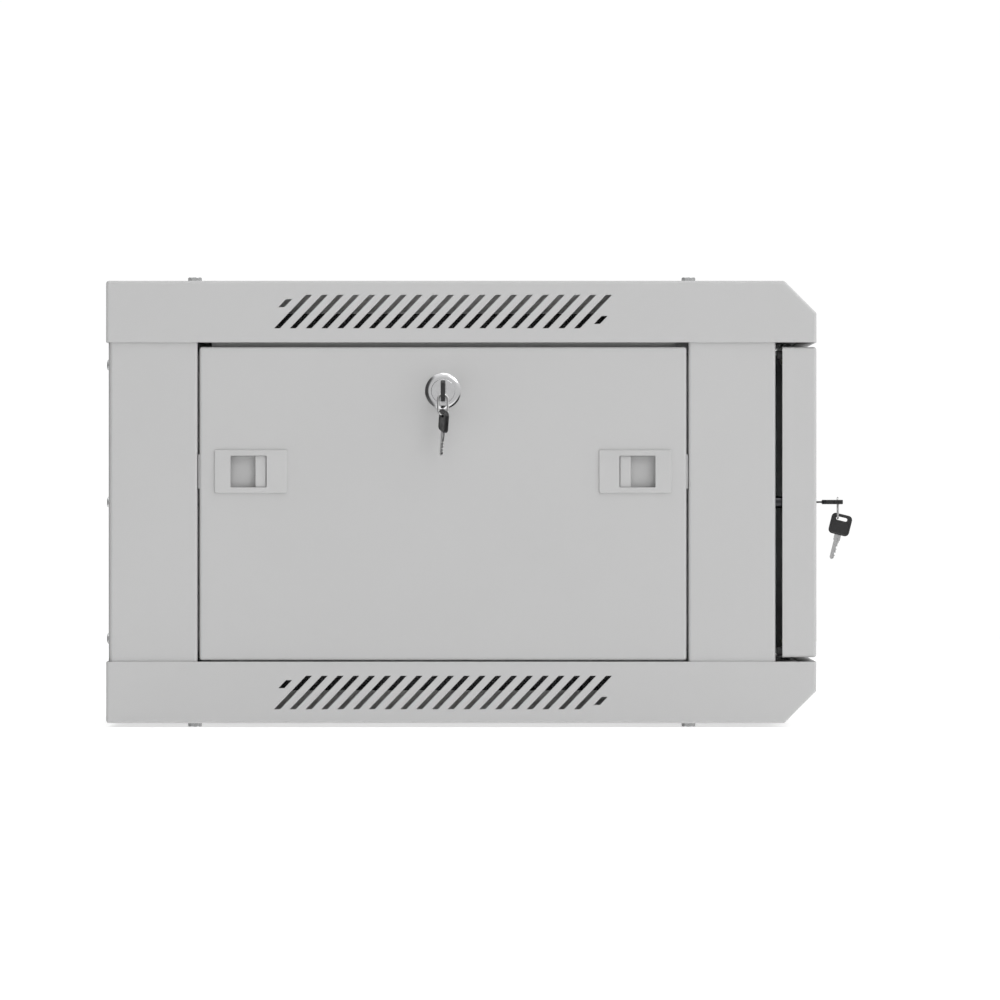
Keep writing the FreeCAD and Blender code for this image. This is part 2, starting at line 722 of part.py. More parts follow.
def lock_body(barrel):
    body = join(lock_flange(), cylinder(LOCK_BARREL_R, -barrel, 0.5))
    dish = cylinder(PLUG_FACE_R + 0.1, 0.4, 2)
    return body.cut([dish, cylinder(PLUG_R + 0.06, -barrel - 1, 2)])


def lock_nut(level):
    nut = hex_nut(27.0, 3.5, LOCK_BARREL_R + 0.05)
    nut.translate(Vector(0, 0, level))
    return nut


def lock_plug(barrel, cam_level):
    """The turning plug: face, stem, shank, the square that drives the cam, and the keyway."""
    face = cylinder(PLUG_FACE_R, 0.5, LOCK_FLANGE)
    face = round_edges(face, 0.4, lambda b: b.ZMin > LOCK_FLANGE - 0.1)
    stem = cylinder(PLUG_R, -barrel - 0.5, 0.6)
    shank = cylinder(5.0, cam_level, -barrel)
    square = block(6.8, 6.8, cam_level - 2.5, cam_level)
    keyway = block(5.0, 2.6, -15.5, 2)
    screw_hole = cylinder(2.05, cam_level - 3, cam_level - 0.5)
    return join(face, stem, shank, square).cut([keyway, screw_hole])


def lock_cam(cam_level, length, angle):
    """A steel cam, pointing at the angle from +X about the lock axis, and its screw."""
    width = 12.0
    plate = cylinder(width / 2 + 2, cam_level - 2.4, cam_level - 0.1)
    arm = Part.makeBox(length - width / 2, width, 2.3, Vector(0, -width / 2, cam_level - 2.4))
    tip = Part.makeCylinder(width / 2, 2.3, Vector(length - width / 2, 0, cam_level - 2.4))
    cam = join(plate, arm, tip).cut(block(7.0, 7.0, cam_level - 5, cam_level + 5))
    screw = pan_screw(2.0, 1.8, 5.2, 2.4, 3.4)
    screw.Placement = Placement(Vector(0, 0, cam_level - 2.5), Rotation(X_AXIS, 180))
    both = Part.makeCompound([cam, screw])
    both.rotate(Vector(0, 0, 0), Z_AXIS, angle)
    return both


def key():
    """A flat key along +Z, tip in the plug: moulded bow, and steel blade with its cuts."""
    bow = block(BOW, BOW_THICK, BOW_START, BOW_START + BOW)
    bow = round_edges(bow, 3.2, lambda b: b.YLength > BOW_THICK - 0.1 and b.XLength < 0.1)
    half = (SLOT_LENGTH - SLOT_WIDTH) / 2
    slot_z = BOW_START + BOW - SLOT_FROM_TOP
    start = Vector(0, -BOW_THICK, slot_z)
    slot = Part.makeBox(2 * half, 2 * BOW_THICK, SLOT_WIDTH, start - Vector(half, 0, SLOT_WIDTH / 2))
    for side in (-half, half):
        end = Part.makeCylinder(SLOT_WIDTH / 2, 2 * BOW_THICK, start + Vector(side, 0, 0), Y_AXIS)
        slot = slot.fuse(end)
    bow = bow.cut(slot)
    flat = BOW_THICK / 2
    bow = round_edges(bow, 0.8, lambda b: b.YLength < 0.01 and abs(abs(b.YMin) - flat) < 0.01)
    bow = bow.cut(block(5.0, 1.9, BOW_START - 1, BOW_START + 5))
    shoulder = block(5.6, 1.8, 1.5, BOW_START)
    blade = block(4.4, 1.8, -14.8, 1.6)
    tang = block(4.8, 1.8, BOW_START - 0.1, BOW_START + 4.9)
    cuts = []
    for i, deep in enumerate((0.9, 1.4, 0.7, 1.2, 0.5)):
        cut = Part.makeBox(1.6, 4, 1.5, Vector(2.2 - deep, -2, -13.2 + 2.8 * i))
        cuts.append(cut)
    blade = join(shoulder, blade, tang).cut(cuts)
    return Part.makeCompound([bow, blade])


def key_ring():
    """An oval wire link in the XZ plane, the middle of its top wire at the origin."""
    straight = RING_HEIGHT - 2 * RING_BEND_R
    top = Vector(0, 0, -RING_BEND_R)
    low = Vector(0, 0, -RING_BEND_R - straight)
    parts = []
    for centre, start in ((top, 0), (low, 180)):
        bend = Part.makeTorus(RING_BEND_R, RING_WIRE_R, centre, Y_AXIS)
        side = 1 if start == 0 else -1
        keep = Part.makeBox(20, 20, 10, centre - Vector(10, 10, 0 if side > 0 else 10))
        parts.append(bend.common(keep))
    for x in (-RING_BEND_R, RING_BEND_R):
        parts.append(Part.makeCylinder(RING_WIRE_R, straight, low + Vector(x, 0, 0)))
    return join(*parts)


def spare_key():
    """A key hanging from the end of its slot, which is at the origin, in the XZ plane.

    The bow lies towards +X from the wire, and the key is tilted so that its top edge falls
    towards +X.
    """
    half = (SLOT_LENGTH - SLOT_WIDTH) / 2
    hanging = key()
    hanging.translate(Vector(half, 0, -(BOW_START + BOW - SLOT_FROM_TOP)))
    hanging.rotate(Vector(0, 0, 0), Y_AXIS, SPARE_TILT)
    return hanging


def put(shape, placement):
    copy = shape.copy()
    copy.Placement = placement.multiply(shape.Placement)
    return copy


# The ring's top wire stands this far above the key's mid plane on the door, where the key
# lies flat, and this far below the key's axis on a side panel, where it stands upright.
DOOR_RING_RISE = 3.4
DOOR_RING_X = 6.8
SIDE_RING_DROP = 2.9
RING_REACH = BOW_START + BOW - SLOT_FROM_TOP


def make_door_lock():
    barrel = 24.0
    recess = LOCK_FLANGE
    cam_level = -(FRONT_POST + SHEET + 3.0) + recess
    origin = Vector(DOOR_LOCK_X, FRONT + recess, MIDDLE)
    outward = Placement(origin, Rotation(X_AXIS, 90))
    save("door_lock_body", put(lock_body(barrel), outward))
    save("door_lock_nut", put(lock_nut(-5.3), outward))
    save("door_lock_plug", put(lock_plug(barrel, cam_level), outward))
    save("door_lock_cam", put(lock_cam(cam_level, 20.0, 90), outward))
    save("door_key", put(key(), outward))
    ring_y = FRONT + recess - RING_REACH
    ring_top = Vector(DOOR_LOCK_X + DOOR_RING_X, ring_y, MIDDLE + DOOR_RING_RISE)
    save("door_key_ring", put(key_ring(), Placement(ring_top, Rotation())))
    hook = ring_top - Vector(0, 0, RING_HEIGHT)
    save("door_spare_key", put(spare_key(), Placement(hook, Rotation(Z_AXIS, -90))))


def make_side_lock(side):
    """The lock, ring and spare key of one side panel; side is -1 for left, 1 for right."""
    barrel = 16.0
    cam_level = -17.5
    name = "left" if side < 0 else "right"
    origin = Vector(-POST_X, FRONT + OPENING_MID, SIDE_LOCK_Z)
    # +Z of the lock points along -X, and the key's width stands upright.
    outward = Placement(origin, Rotation(Vector(0, 0, 1), Vector(0, 1, 0), Vector(-1, 0, 0), "ZXY"))
    ring_top = Vector(-POST_X - RING_REACH, FRONT + OPENING_MID, SIDE_LOCK_Z - SIDE_RING_DROP)
    link = Placement(ring_top, Rotation(Z_AXIS, 90 + LINK_YAW))
    hook = ring_top - Vector(0, 0, RING_HEIGHT)
    hanging = Placement(hook, Rotation(Z_AXIS, 180 + SPARE_YAW))
    shapes = {
        "lock_body": put(lock_body(barrel), outward),
        "lock_nut": put(lock_nut(-5.0), outward),
        "lock_plug": put(lock_plug(barrel, cam_level), outward),
        "lock_cam": put(lock_cam(cam_level, 38.0, 0), outward),
        "key": put(key(), outward),
        "key_ring": put(key_ring(), link),
        "spare_key": put(spare_key(), hanging),
    }
    # The cam lies flat towards the front while the lock is open.
    shapes["lock_cam"].rotate(origin, X_AXIS, 90)
    for part, shape in shapes.items():
        save(f"{name}_{part}", shape if side < 0 else mirror_x(shape))


# ---------------------------------------------------------------- side panels and latches

PANEL_START = OPENING_START + PANEL_SIDE_GAP
PANEL_END = OPENING_END - PANEL_SIDE_GAP
PANEL_BOTTOM = SILL + PANEL_BOTTOM_GAP
PANEL_TOP = HEAD - PANEL_TOP_GAP
LATCH_FRONT = OPENING_START + LATCH_EDGE + LATCH_BEZEL[0] / 2
LATCH_REAR = OPENING_END - LATCH_EDGE - LATCH_BEZEL[0] / 2
LATCH_WINDOW_END = OPENING_END - LATCH_WINDOW_SET


def side_panel():
    outer = box(-POST_X, -POST_X + PANEL_DEPTH, PANEL_START, PANEL_END, PANEL_BOTTOM, PANEL_TOP)
    outer = round_edges(outer, BEND + THIN_SHEET, lambda b: b.XMin < -POST_X + 0.1)
    inner = box(
        -POST_X + THIN_SHEET,
        -POST_X + PANEL_DEPTH + 5,
        PANEL_START + THIN_SHEET,
        PANEL_END - THIN_SHEET,
        PANEL_BOTTOM + THIN_SHEET,
        PANEL_TOP - THIN_SHEET,
    )
    inner = round_edges(inner, BEND, lambda b: b.XMin < -POST_X + THIN_SHEET + 0.1)
    tools = [inner, disc(LOCK_HOLE_R, 10, -POST_X - 2, OPENING_MID, SIDE_LOCK_Z, X_AXIS)]
    half = LATCH_BOLT_HEIGHT / 2 + 0.6
    x = -POST_X
    near, far = LATCH_CAVITY
    cut_y = LATCH_BEZEL[0] / 2 - 4
    low = LATCH_Z - LATCH_BEZEL[1] / 2 + 2
    high = LATCH_Z + LATCH_BEZEL[1] / 2 - 2
    for middle, edge in ((LATCH_FRONT, PANEL_START), (LATCH_REAR, PANEL_END)):
        tools.append(box(x - 1, x + 3, middle - cut_y, middle + cut_y, low, high))
        slot = box(x + near, x + far + 0.2, edge - 4, edge + 4, LATCH_Z - half, LATCH_Z + half)
        tools.append(slot)
    return outer.cut(tools)


def latch_housing():
    """The rear latch's plastic body, with a bezel outside the sheet and a pocket inside."""
    x = -POST_X
    wide, tall = LATCH_BEZEL
    half_y = wide / 2
    half_z = tall / 2
    middle = LATCH_REAR
    face = x - BEZEL
    bezel = box(face, x, middle - half_y, middle + half_y, LATCH_Z - half_z, LATCH_Z + half_z)
    bezel = round_edges(bezel, 1.2, lambda b: b.XLength > BEZEL - 0.1)
    bezel = round_edges(bezel, 0.7, lambda b: b.XMax < face + 0.1)
    half_y -= 4.5
    half_z -= 2.5
    body = box(x, x + 11, middle - half_y, middle + half_y, LATCH_Z - half_z, LATCH_Z + half_z)
    near, far = LATCH_CAVITY
    half_z = LATCH_BOLT_HEIGHT / 2 + BOLT_GAP
    start = middle - half_y + 1.3
    end = middle + half_y + 1
    cavity = box(x + near, x + far, start, end, LATCH_Z - half_z, LATCH_Z + half_z)
    start = LATCH_WINDOW_END - LATCH_WINDOW[0]
    half_z = LATCH_WINDOW[1] / 2
    window = box(x - 2, x + 3, start, LATCH_WINDOW_END, LATCH_Z - half_z, LATCH_Z + half_z)
    window = round_edges(window, 0.8, lambda b: b.XLength > 4)
    relief_start = start - TAB_TRAVEL - TAB_GAP
    low = LATCH_Z - half_z
    relief = box(x + TAB_FACE - 0.3, x + near + 1, relief_start, start + 2, low, LATCH_Z + half_z)
    return join(bezel, body).cut([cavity, window, relief])


def latch_slider():
    """The rear latch's slider: finger tab, plate, and the bolt that enters the post."""
    near, far = LATCH_CAVITY
    outer = -POST_X + near + 0.4
    tab_face = -POST_X + TAB_FACE
    inner = -POST_X + far - 0.4
    plate_x = -POST_X + far - 3.0
    tip = OPENING_END - 0.3
    tab_start = LATCH_WINDOW_END - LATCH_WINDOW[0] + TAB_GAP
    tab_z = LATCH_WINDOW[1] / 2 - TAB_GAP
    bolt_z = LATCH_BOLT_HEIGHT / 2
    plate = box(plate_x, inner, tab_start, tip, LATCH_Z - tab_z, LATCH_Z + tab_z)
    tab = box(tab_face, inner, tab_start, tab_start + 9.2, LATCH_Z - tab_z, LATCH_Z + tab_z)
    tab = round_edges(tab, 0.8, lambda b: b.XMax < tab_face + 0.1 and b.ZLength > 5)
    bolt = box(outer, inner, tip - 14.5, tip, LATCH_Z - bolt_z, LATCH_Z + bolt_z)
    bolt = round_edges(bolt, 1.0, lambda b: b.YMin > FRONT + tip - 0.1 and b.ZLength > 5)
    return join(plate, tab, bolt)


def mirror_depth(shape):
    """The front latch is the rear one mirrored about the middle of the side opening."""
    return shape.mirror(Vector(0, FRONT + OPENING_MID, 0), Y_AXIS)


def make_side(side):
    name = "left" if side < 0 else "right"
    housing = latch_housing()
    slider = latch_slider()
    shapes = {
        f"{name}_panel": side_panel(),
        f"{name}_latch_housings": Part.makeCompound([mirror_depth(housing), housing]),
        f"{name}_latch_front": mirror_depth(slider),
        f"{name}_latch_rear": slider,
    }
    for part, shape in shapes.items():
        save(part, shape if side < 0 else mirror_x(shape))
    make_side_lock(side)


def main():
    os.makedirs("parts", exist_ok=True)
    make_covers()
    make_cable_plates()
    make_posts()
    make_braces()
    make_rails()
    make_vent_filters()
    make_rear_panel()
    make_fasteners()
    make_door_frame()
    make_door_glass()
    make_glass_clips()
    make_door_hardware()
    make_door_lock()
    make_side(-1)
    make_side(1)


main()
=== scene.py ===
"""Looks of the wall-mount network cabinet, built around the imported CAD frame.

Everything is in metres, in the frame's own axes: +X to the right seen from the front door,
+Y to the rear and +Z up. The sheet-metal, rack and lock parts are the CAD nodes themselves with
procedural finishes. The keys are rebuilt here as a moulded bow and a milled blade.
"""

import json
import math

import bpy
from mathutils import Matrix, Vector


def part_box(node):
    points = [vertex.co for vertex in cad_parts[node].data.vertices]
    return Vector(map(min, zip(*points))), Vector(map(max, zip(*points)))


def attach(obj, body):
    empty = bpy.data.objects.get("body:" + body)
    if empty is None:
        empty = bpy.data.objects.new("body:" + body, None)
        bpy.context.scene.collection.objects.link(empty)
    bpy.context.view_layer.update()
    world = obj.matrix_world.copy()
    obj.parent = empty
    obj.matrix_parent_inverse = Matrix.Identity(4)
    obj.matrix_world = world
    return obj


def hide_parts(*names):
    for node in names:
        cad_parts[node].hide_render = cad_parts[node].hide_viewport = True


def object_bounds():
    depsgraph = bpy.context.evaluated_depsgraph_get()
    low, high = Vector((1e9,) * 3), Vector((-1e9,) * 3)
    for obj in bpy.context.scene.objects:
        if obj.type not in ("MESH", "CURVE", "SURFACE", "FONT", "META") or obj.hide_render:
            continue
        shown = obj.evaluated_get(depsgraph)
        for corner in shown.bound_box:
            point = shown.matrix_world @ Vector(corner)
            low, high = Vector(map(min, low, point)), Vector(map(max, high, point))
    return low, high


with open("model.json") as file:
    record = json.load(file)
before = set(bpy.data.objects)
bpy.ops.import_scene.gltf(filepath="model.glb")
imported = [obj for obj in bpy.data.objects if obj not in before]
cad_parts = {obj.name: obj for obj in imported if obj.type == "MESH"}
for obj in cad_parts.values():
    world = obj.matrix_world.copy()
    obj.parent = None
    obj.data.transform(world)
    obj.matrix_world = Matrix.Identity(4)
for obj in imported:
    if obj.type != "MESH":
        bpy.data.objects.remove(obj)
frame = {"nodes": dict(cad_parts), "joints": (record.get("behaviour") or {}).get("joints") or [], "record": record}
cad_low, cad_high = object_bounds()

MM = 0.001
JOINTS = {joint["name"]: joint for joint in frame["joints"]}

# Keys: the moulded bow and the blade, in the key's own axes. Z runs out of the lock, X across
# the bow and Y through its thickness, with Z = 0 at the lock's seat on the sheet.
BOW_SIZE = 17.6 * MM
BOW_START = 6.3 * MM
BOW_THICK = 3.7 * MM
BOW_CORNER = 3.6 * MM
BOW_RIM = 1.7 * MM
SLOT_LENGTH = 9.6 * MM
SLOT_WIDTH = 2.9 * MM
SLOT_FROM_TOP = 4.0 * MM
BLADE_THICK = 1.8 * MM
BLADE_HALF = 2.2 * MM
BLADE_TIP = -14.8 * MM
SHOULDER_HALF = 2.8 * MM
BITTING = (0.9 * MM, 1.4 * MM, 0.7 * MM, 1.2 * MM, 0.5 * MM)
SPARE_TILT = math.radians(14.0)
LOCK_FLANGE = 1.3 * MM

# The blade's cuts: the first one's height above the tip, each one's flat, slope and pitch.
CUT_START = 1.6 * MM
CUT_FLAT = 1.5 * MM
CUT_SLOPE_END = 2.1 * MM
CUT_PITCH = 2.7 * MM
# The shoulder under the bow, and how far the blade runs up into the bow.
SHOULDER_START = 1.5 * MM
TANG = 1.0 * MM

# The door lock plug's chrome gives way to painted shade this far behind the plug's face, within the fade.
CHROME_DEPTH = 3.0 * MM
CHROME_FADE = 0.4 * MM

# Camera and studio
FIELD_WIDTH = 0.836
CAMERA_DISTANCE = 12.0
SENSOR = 36.0
AIM_SHIFT = Vector((0.0, -0.01705, 0.0017))
CLIP_END = 50.0
BACKGROUND = 1.02
FLOOR_HALF = 7.0
FLOOR_STEPS = 14
FLOOR_DROP = 0.0002
FLOOR_GLOW = 0.45
# Lights: name, place, size and power.
LIGHTS = (
    ("overhead", (-0.9, -0.5, 3.2), (2.6, 2.6), 34.0),
    ("side_key", (-3.4, -1.8, 2.4), (1.8, 1.4), 22.0),
    ("front_fill", (-1.2, -3.8, 1.4), (2.0, 1.6), 14.0),
    ("far_fill", (3.4, 1.8, 1.8), (2.4, 1.6), 16.0),
)

# Bands of the surround's light: the axis, the cosines from it between which the light changes,
# and its level before and after.
SKY_BANDS = (
    ((0.0, 0.0, 1.0), -0.2, 0.9, 0.55, 0.95),
    ((0.0, 0.0, -1.0), 0.1, 0.5, 1.0, 2.4),
    ((-0.4, 0.91, -0.08), 0.45, 0.72, 1.0, 0.1),
    ((-0.45, -0.62, -0.64), 0.82, 0.92, 1.0, 0.04),
)


# ---------------------------------------------------------------- material helpers


class Finish:
    """A Principled material whose textures follow the object's own coordinates."""

    def __init__(self, name, color, roughness, metallic=0.0):
        self.material = bpy.data.materials.new(name)
        self.material.use_nodes = True
        self.tree = self.material.node_tree
        self.shader = self.tree.nodes["Principled BSDF"]
        self.shader.inputs["Base Color"].default_value = (*color, 1.0)
        self.shader.inputs["Roughness"].default_value = roughness
        self.shader.inputs["Metallic"].default_value = metallic
        self.coordinates = self.node("ShaderNodeTexCoord").outputs["Object"]

    def node(self, kind, **settings):
        made = self.tree.nodes.new(kind)
        for key, value in settings.items():
            setattr(made, key, value)
        return made

    def link(self, source, target):
        self.tree.links.new(source, target)

    def stretched(self, stretch):
        """The object's coordinates with each axis scaled."""
        mapping = self.node("ShaderNodeMapping")
        mapping.inputs["Scale"].default_value = stretch
        self.link(self.coordinates, mapping.inputs["Vector"])
        return mapping.outputs["Vector"]

    def noise(self, scale, detail=3.0, stretch=None):
        texture = self.node("ShaderNodeTexNoise")
        texture.inputs["Scale"].default_value = scale
        texture.inputs["Detail"].default_value = detail
        source = self.stretched(stretch) if stretch else self.coordinates
        self.link(source, texture.inputs["Vector"])
        return texture.outputs["Fac"]

    def cells(self, scale, feature="F1"):
        texture = self.node("ShaderNodeTexVoronoi", feature=feature)
        texture.inputs["Scale"].default_value = scale
        self.link(self.coordinates, texture.inputs["Vector"])
        return texture.outputs["Distance"]

    def spread(self, value, low, high):
        """The middle of a 0 to 1 texture spread over the range from low to high."""
        span = self.node("ShaderNodeMapRange")
        span.inputs["From Min"].default_value = 0.3
        span.inputs["From Max"].default_value = 0.7
        span.inputs["To Min"].default_value = low
        span.inputs["To Max"].default_value = high
        self.link(value, span.inputs["Value"])
        return span.outputs["Result"]

    def vary_color(self, value, other, share=1.0):
        """Mixes the base colour towards another one by a texture."""
        mix = self.node("ShaderNodeMix", data_type="RGBA")
        mix.inputs["B"].default_value = (*other, 1.0)
        base = self.shader.inputs["Base Color"]
        if base.is_linked:
            self.link(base.links[0].from_socket, mix.inputs["A"])
        else:
            mix.inputs["A"].default_value = base.default_value
        self.link(self.spread(value, 0.0, share), mix.inputs["Factor"])
        self.link(mix.outputs["Result"], base)

    def vary_roughness(self, value, low, high):
        self.link(self.spread(value, low, high), self.shader.inputs["Roughness"])

    def bump(self, value, depth, strength=1.0):
        """Adds relief of the given depth in metres."""
        relief = self.node("ShaderNodeBump")
        relief.inputs["Distance"].default_value = depth
        relief.inputs["Strength"].default_value = strength
        self.link(value, relief.inputs["Height"])
        normal = self.shader.inputs["Normal"]
        if normal.is_linked:
            self.link(normal.links[0].from_socket, relief.inputs["Normal"])
        self.link(relief.outputs["Normal"], normal)


def shade(color, factor):
    return tuple(min(1.0, channel * factor) for channel in color)


# ---------------------------------------------------------------- finishes


def powder_coat(name, color):
    """Satin light grey powder coat: fine orange peel and a faint cloudiness."""
    finish = Finish(name, color, 0.5)
    finish.vary_color(finish.noise(6.0, 2.0), shade(color, 0.975))
    finish.vary_color(finish.noise(1800.0, 1.0), shade(color, 1.03), 0.5)
    finish.vary_roughness(finish.noise(40.0, 4.0), 0.46, 0.56)
    finish.bump(finish.noise(450.0, 2.0), 0.00001, 0.6)
    finish.bump(finish.noise(1700.0, 2.0), 0.000005, 0.6)
    finish.shader.inputs["Specular IOR Level"].default_value = 0.4
    return finish.material


def zinc(name, color, roughness):
    """Zinc plate: soft spangle, clouded passivation and fine handling marks."""
    finish = Finish(name, color, roughness, 1.0)
    finish.vary_color(finish.cells(160.0), shade(color, 0.9), 0.4)
    finish.vary_color(finish.noise(60.0, 5.0), (0.72, 0.71, 0.67), 0.3)
    finish.vary_roughness(finish.noise(220.0, 5.0), roughness - 0.05, roughness + 0.07)
    finish.bump(finish.noise(900.0, 3.0, (1.0, 0.15, 1.0)), 0.000003, 0.4)
    return finish.material


def chrome(name, color):
    """Bright chrome plate with hairline polishing marks."""
    finish = Finish(name, color, 0.1, 1.0)
    finish.vary_roughness(finish.noise(500.0, 4.0), 0.07, 0.15)
    finish.vary_color(finish.noise(250.0, 4.0), shade(color, 0.93), 0.6)
    finish.bump(finish.noise(1200.0, 3.0, (1.0, 1.0, 0.1)), 0.000004, 0.5)
    return finish.material


def chrome_with_painted_shade(name, color, mouth):
    """Chrome that gives way to painted shade behind the sheet, at the mouth's Y: a near-black colour for the shade
    inside the lock.
    """
    finish = Finish(name, color, 0.1, 1.0)
    finish.vary_roughness(finish.noise(500.0, 4.0), 0.07, 0.15)
    split = finish.node("ShaderNodeSeparateXYZ")
    finish.link(finish.coordinates, split.inputs["Vector"])
    depth = finish.node("ShaderNodeMapRange")
    depth.inputs["From Min"].default_value = mouth
    depth.inputs["From Max"].default_value = mouth + CHROME_FADE
    finish.link(split.outputs["Y"], depth.inputs["Value"])
    # Painted shade: past the mouth the near-black colour stands in for the shade inside the lock.
    mix = finish.node("ShaderNodeMix", data_type="RGBA")
    mix.inputs["A"].default_value = (*color, 1.0)
    mix.inputs["B"].default_value = (0.05, 0.05, 0.053, 1.0)
    finish.link(depth.outputs["Result"], mix.inputs["Factor"])
    finish.link(mix.outputs["Result"], finish.shader.inputs["Base Color"])
    return finish.material


def wire_nickel():
    """Satin nickel on the key rings' wire."""
    finish = Finish("wire_nickel", (0.78, 0.78, 0.78), 0.34, 1.0)
    finish.vary_roughness(finish.noise(700.0, 4.0), 0.28, 0.42)
    finish.vary_color(finish.noise(300.0, 4.0), (0.66, 0.66, 0.65), 0.6)
    finish.bump(finish.noise(2500.0, 2.0), 0.000004, 0.5)
    return finish.material


def key_steel():
    """Nickel-plated blade, milled along its length."""
    finish = Finish("key_steel", (0.66, 0.66, 0.66), 0.34, 1.0)
    finish.vary_roughness(finish.noise(600.0, 4.0), 0.26, 0.42)
    finish.vary_color(finish.noise(400.0, 4.0), (0.54, 0.54, 0.54), 0.6)
    finish.bump(finish.noise(2500.0, 2.0, (1.0, 1.0, 0.08)), 0.00001, 0.6)
    return finish.material


def moulded(name, color, roughness, grain):
    """Moulded plastic with a spark-eroded grain."""
    finish = Finish(name, color, roughness)
    finish.vary_color(finish.noise(25.0, 3.0), shade(color, 0.95))
    finish.vary_roughness(finish.noise(300.0, 4.0), roughness - 0.06, roughness + 0.08)
    finish.bump(finish.cells(grain, "SMOOTH_F1"), 0.00003, 0.5)
    finish.bump(finish.noise(grain * 2, 3.0), 0.00001, 0.5)
    return finish.material


def rubber():
    """Matt black rubber with a dusty bloom."""
    finish = Finish("black_rubber", (0.018, 0.018, 0.019), 0.75)
    finish.vary_color(finish.noise(180.0, 5.0), (0.045, 0.045, 0.045), 0.7)
    finish.vary_roughness(finish.noise(350.0, 4.0), 0.68, 0.86)
    finish.bump(finish.noise(1600.0, 4.0), 0.00004, 0.6)
    return finish.material


def filter_foam():
    """Open-cell filter foam: dark pores between lighter struts. Its dark colour behind the vents is painted shade
    for the shade inside them.
    """
    finish = Finish("filter_foam", (0.20, 0.20, 0.20), 0.9)
    finish.vary_color(finish.cells(700.0), (0.06, 0.06, 0.06))
    finish.vary_roughness(finish.noise(300.0, 3.0), 0.85, 0.98)
    finish.bump(finish.cells(700.0), 0.0008, 1.0)
    return finish.material


def glass():
    """Clear toughened glass with faint smears."""
    finish = Finish("glass", (0.9, 0.95, 0.93), 0.02)
    finish.vary_roughness(finish.noise(9.0, 6.0), 0.0, 0.035)
    finish.shader.inputs["Transmission Weight"].default_value = 1.0
    finish.shader.inputs["IOR"].default_value = 1.5
    return finish.material


GREY = (0.47, 0.47, 0.47)
CHROME = (0.82, 0.82, 0.83)
FINISHES = {
    "powder_coat": powder_coat("powder_coat_fine", GREY),
    "inner_paint": powder_coat("inner_paint_fine", shade(GREY, 0.96)),
    "zinc_rail": zinc("zinc_rail_plate", (0.66, 0.67, 0.68), 0.38),
    "zinc_hardware": zinc("zinc_hardware_plate", (0.62, 0.63, 0.64), 0.27),
    "lock_chrome": chrome("lock_chrome_plate", CHROME),
    "key_plastic": moulded("key_plastic_grain", (0.02, 0.02, 0.021), 0.42, 1100.0),
    "glass": glass(),
    "black_rubber": rubber(),
    "nylon": moulded("nylon_natural", (0.72, 0.70, 0.64), 0.42, 900.0),
    # The filter foam's dark colour is painted shade behind the vents.
    "filter_foam": filter_foam(),
    "latch_plastic": moulded("latch_plastic_grain", shade(GREY, 1.02), 0.5, 1300.0),
}
KEY_STEEL = key_steel()
WIRE_NICKEL = wire_nickel()
# The braces get the same powder coat in a lighter grey: painted light for the light that reaches them through the
# vents.
BRACE_PAINT_PAINTED_LIGHT = powder_coat("brace_paint_painted_light", (0.75, 0.75, 0.75))


def dress_nodes():
    """Gives every CAD node the finish of its record slot, or a finish of its own."""
    for part in frame["record"]["subparts"]:
        node = frame["nodes"][part["node"]]
        finish = FINISHES[part["material_slot"]]
        if part["node"].endswith("_key_ring"):
            finish = WIRE_NICKEL
        # Braces: the lighter copy of the paint, painted light seen through the vents.
        if part["node"].startswith("brace_"):
            finish = BRACE_PAINT_PAINTED_LIGHT
        # The door plug's chrome turns to painted shade behind its face.
        if part["node"] == "door_lock_plug":
            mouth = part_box("door_lock_plug")[0].y + CHROME_DEPTH
            finish = chrome_with_painted_shade("door_plug_chrome_painted_shade", CHROME, mouth)
        for material_slot in node.material_slots:
            material_slot.material = finish


# ---------------------------------------------------------------- plates cut from curves


def arc(centre, radius, start, end, steps=8):
    """Points round an arc in degrees, both ends included."""
    points = []
    for i in range(steps + 1):
        angle = math.radians(start + (end - start) * i / steps)
        points.append((centre[0] + radius * math.cos(angle), centre[1] + radius * math.sin(angle)))
    return points


def rounded_rectangle(x0, x1, z0, z1, radius):
    points = arc((x1 - radius, z1 - radius), radius, 0, 90)
    points += arc((x0 + radius, z1 - radius), radius, 90, 180)
    points += arc((x0 + radius, z0 + radius), radius, 180, 270)
    points += arc((x1 - radius, z0 + radius), radius, 270, 360)
    return points


def plate(outlines, thickness, bevel):
    """A mesh plate in the XZ plane, centred on Y = 0, whose later outlines are holes."""
    curve = bpy.data.curves.new("plate", "CURVE")
    curve.dimensions = "2D"
    curve.fill_mode = "BOTH"
    curve.extrude = thickness / 2 - bevel
    curve.bevel_depth = bevel
    curve.bevel_resolution = 3
    curve.offset = -bevel
    for outline in outlines:
        spline = curve.splines.new("POLY")
        spline.points.add(len(outline) - 1)
        spline.use_cyclic_u = True
        for point, (x, z) in zip(spline.points, outline):
            point.co = (x, z, 0.0, 1.0)
    holder = bpy.data.objects.new("plate", curve)
    mesh = bpy.data.meshes.new_from_object(holder)
    bpy.data.objects.remove(holder)
    bpy.data.curves.remove(curve)
    mesh.transform(Matrix.Rotation(math.pi / 2, 4, "X"))
    return mesh


def joined(name, meshes, material):
    """One object made of several meshes."""
    vertices = []
    faces = []
    for mesh in meshes:
        base = len(vertices)
        vertices += [vertex.co.copy() for vertex in mesh.vertices]
        faces += [[base + i for i in polygon.vertices] for polygon in mesh.polygons]
        bpy.data.meshes.remove(mesh)
    made = bpy.data.meshes.new(name)
    made.from_pydata(vertices, [], faces)
    made.materials.append(material)
    made.update()
    piece = bpy.data.objects.new(name, made)
    bpy.context.scene.collection.objects.link(piece)
    return piece


